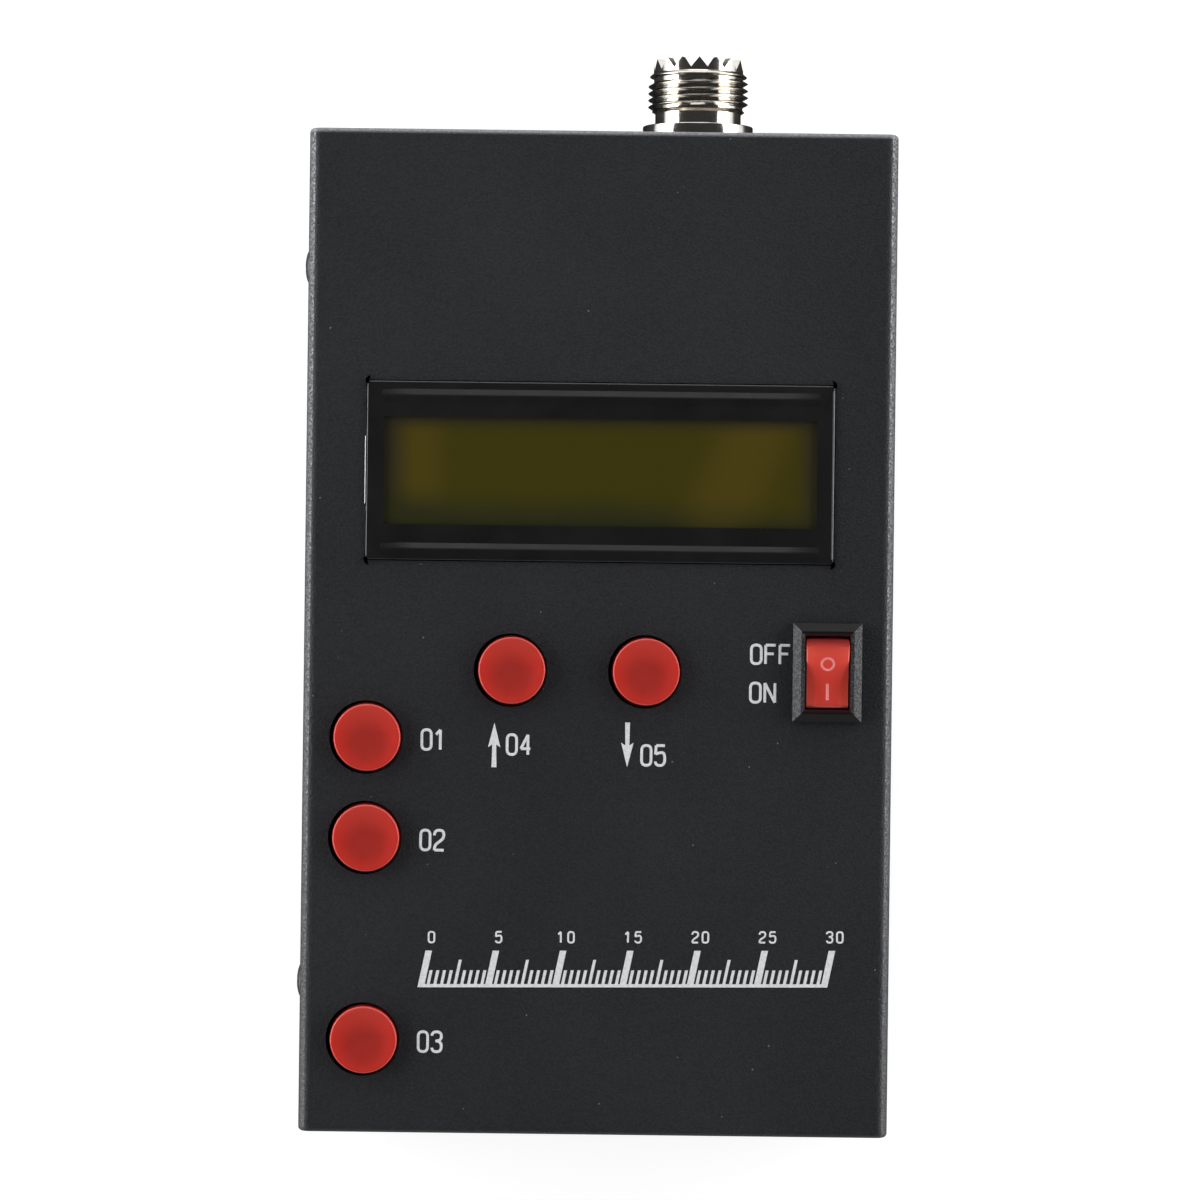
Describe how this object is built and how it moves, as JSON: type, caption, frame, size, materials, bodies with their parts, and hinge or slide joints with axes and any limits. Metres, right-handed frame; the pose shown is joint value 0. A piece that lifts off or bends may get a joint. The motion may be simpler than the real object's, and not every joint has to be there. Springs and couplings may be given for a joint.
{
  "type": "antenna analyzer",
  "caption": "Hand-held antenna analyzer in a folded sheet case, with a character display, round push buttons, a rocker switch and a screw-on coaxial socket.",
  "frame": {"origin": "under the middle of the object, on the surface that its feet stand on", "axes": "+Z out of the face, +Y towards the end with the coaxial socket, +X to the right of the display"},
  "size_m": [0.091, 0.1666, 0.0351],
  "materials": {
    "case_paint": "fine black powder coat, satin",
    "blackened_steel": "black oxide",
    "zinc_steel": "zinc plated",
    "standoff_brass": "turned",
    "foot_rubber": "matt",
    "nickel_plate": "bright nickel plate",
    "gold_plate": "bright",
    "insulator_plastic": "smooth",
    "circuit_board": "solder resist, satin",
    "black_plastic": "moulded, satin",
    "chip_resin": "moulded, matt",
    "red_plastic": "moulded, glossy",
    "stem_plastic": "moulded",
    "bezel_black": "black, satin",
    "display_glass": "olive display glass",
    "backlight_plastic": "frosted",
    "strip_rubber": "matt",
    "spring_steel": "bright",
    "contact_brass": "bright",
    "ferrite": "coated",
    "copper_wire": "enamelled copper",
    "can_metal": "bright",
    "trimmer_plastic": "moulded",
    "wire_red": "insulated",
    "wire_white": "insulated",
    "wire_black": "insulated"
  },
  "bodies": {
    "case": {"front_cover": "case_paint", "rear_tray": "case_paint", "side_screws": "blackened_steel", "flush_screws": "blackened_steel", "tab_nuts": "zinc_steel", "rubber_feet": "foot_rubber", "main_board": "circuit_board", "board_standoffs": "standoff_brass", "board_screws": "zinc_steel", "controller_socket": "black_plastic", "controller_chip": "chip_resin", "synthesizer_chip": "chip_resin", "oscillator_crystal": "can_metal", "voltage_regulator": "chip_resin", "electrolytic_capacitors": "can_metal", "contrast_trimmer": "trimmer_plastic", "toroid_cores": "ferrite", "toroid_windings": "copper_wire", "lcd_board": "circuit_board", "lcd_bezel": "bezel_black", "lcd_glass": "display_glass", "lcd_contact_strips": "strip_rubber", "lcd_backlight": "backlight_plastic", "lcd_driver_chips": "chip_resin", "lcd_pins": "nickel_plate", "lcd_pin_header": "black_plastic", "lcd_standoffs": "zinc_steel", "lcd_screws": "zinc_steel", "switch_bases": "black_plastic", "switch_covers": "spring_steel", "switch_domes": "spring_steel", "rocker_frame": "black_plastic", "rocker_terminals": "nickel_plate", "socket_shell": "nickel_plate", "socket_insulator": "insulator_plastic", "socket_contact": "gold_plate", "socket_washer": "zinc_steel", "socket_lug": "nickel_plate", "socket_nut": "nickel_plate", "jack_body": "black_plastic", "jack_pin": "nickel_plate", "jack_contact": "nickel_plate", "jack_nut": "black_plastic", "signal_wire": "wire_white", "ground_wire": "wire_black", "power_wires": "wire_red"},
    "upper_button": {"upper_button_cap": "red_plastic", "upper_button_stem": "stem_plastic"},
    "middle_button": {"middle_button_cap": "red_plastic", "middle_button_stem": "stem_plastic"},
    "lower_button": {"lower_button_cap": "red_plastic", "lower_button_stem": "stem_plastic"},
    "up_button": {"up_button_cap": "red_plastic", "up_button_stem": "stem_plastic"},
    "down_button": {"down_button_cap": "red_plastic", "down_button_stem": "stem_plastic"},
    "rocker": {"rocker": "red_plastic", "rocker_plunger": "stem_plastic", "rocker_spring": "spring_steel"},
    "blade": {"rocker_blade": "contact_brass"}
  },
  "joints": [
    {"name": "upper_button_slide", "type": "slide", "parent": "case", "child": "upper_button", "axis": [0, 0, -1], "range_m": [0, 0.0003], "stiffness_N_per_m": 5000},
    {"name": "middle_button_slide", "type": "slide", "parent": "case", "child": "middle_button", "axis": [0, 0, -1], "range_m": [0, 0.0003], "stiffness_N_per_m": 5000},
    {"name": "lower_button_slide", "type": "slide", "parent": "case", "child": "lower_button", "axis": [0, 0, -1], "range_m": [0, 0.0003], "stiffness_N_per_m": 5000},
    {"name": "up_button_slide", "type": "slide", "parent": "case", "child": "up_button", "axis": [0, 0, -1], "range_m": [0, 0.0003], "stiffness_N_per_m": 5000},
    {"name": "down_button_slide", "type": "slide", "parent": "case", "child": "down_button", "axis": [0, 0, -1], "range_m": [0, 0.0003], "stiffness_N_per_m": 5000},
    {"name": "rocker_hinge", "type": "hinge", "parent": "case", "child": "rocker", "pos_m": [0.03545, -0.01106, 0.0315], "axis": [-1, 0, 0], "range_deg": [0, 22]},
    {"name": "blade_hinge", "type": "hinge", "parent": "case", "child": "blade", "pos_m": [0.03545, -0.01106, 0.02535], "axis": [-1, 0, 0], "range_deg": [-14, 0]}
  ],
  "couplings": [
    {"joint": "blade_hinge", "follows": "rocker_hinge", "ratio": -0.6359}
  ]
}
